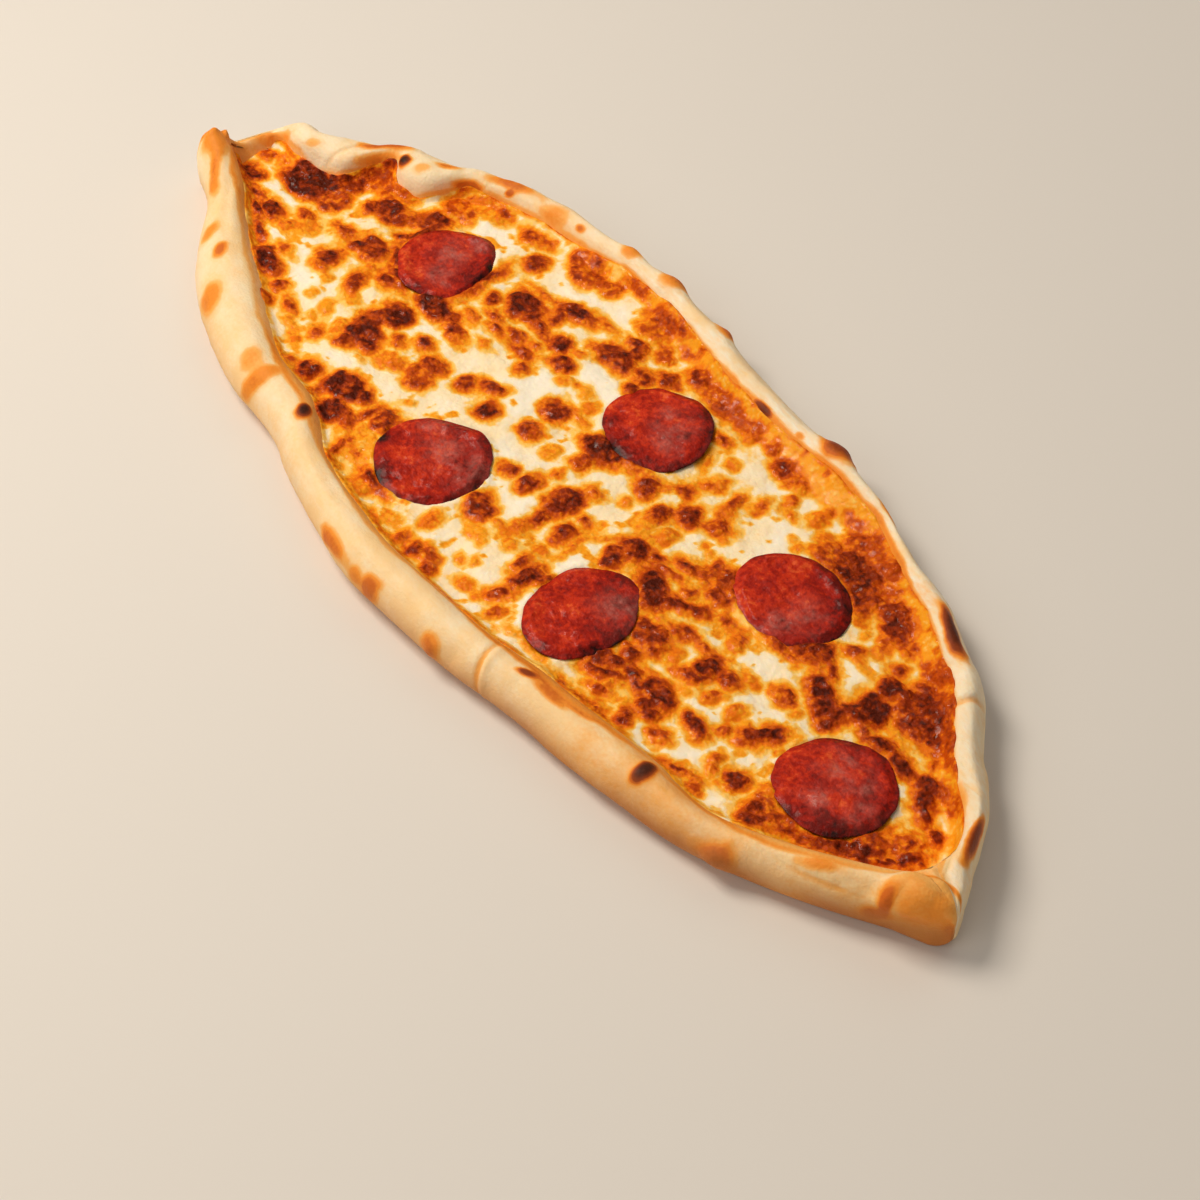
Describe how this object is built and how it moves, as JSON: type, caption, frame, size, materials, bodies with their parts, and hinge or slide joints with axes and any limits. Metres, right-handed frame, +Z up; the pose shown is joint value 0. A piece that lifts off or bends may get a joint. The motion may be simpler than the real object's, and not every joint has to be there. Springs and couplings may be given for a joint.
{
  "type": "turkish pide",
  "caption": "Long boat-shaped flatbread with rolled rims and pointed ends, filled with melted browned cheese and topped with round slices of spiced sausage.",
  "frame": {"origin": "middle of the flat underside, at the centre of the bounding box", "axes": "+X along the boat, from the raised horn to the blunt folded corner; +Y across it; +Z up, away from the underside"},
  "size_m": [0.388, 0.151, 0.0252],
  "materials": {
    "crust": "baked dough, matt and floury, browned in spots",
    "cheese": "melted cheese, satin and oily, with dark browned blisters",
    "sausage": "cured sausage, oily, mottled with fat and charred at the edge"
  },
  "bodies": {
    "root": {"dough": "crust", "cheese": "cheese", "sausage_slice_1": "sausage", "sausage_slice_2": "sausage", "sausage_slice_3": "sausage", "sausage_slice_4": "sausage", "sausage_slice_5": "sausage", "sausage_slice_6": "sausage"}
  },
  "joints": []
}
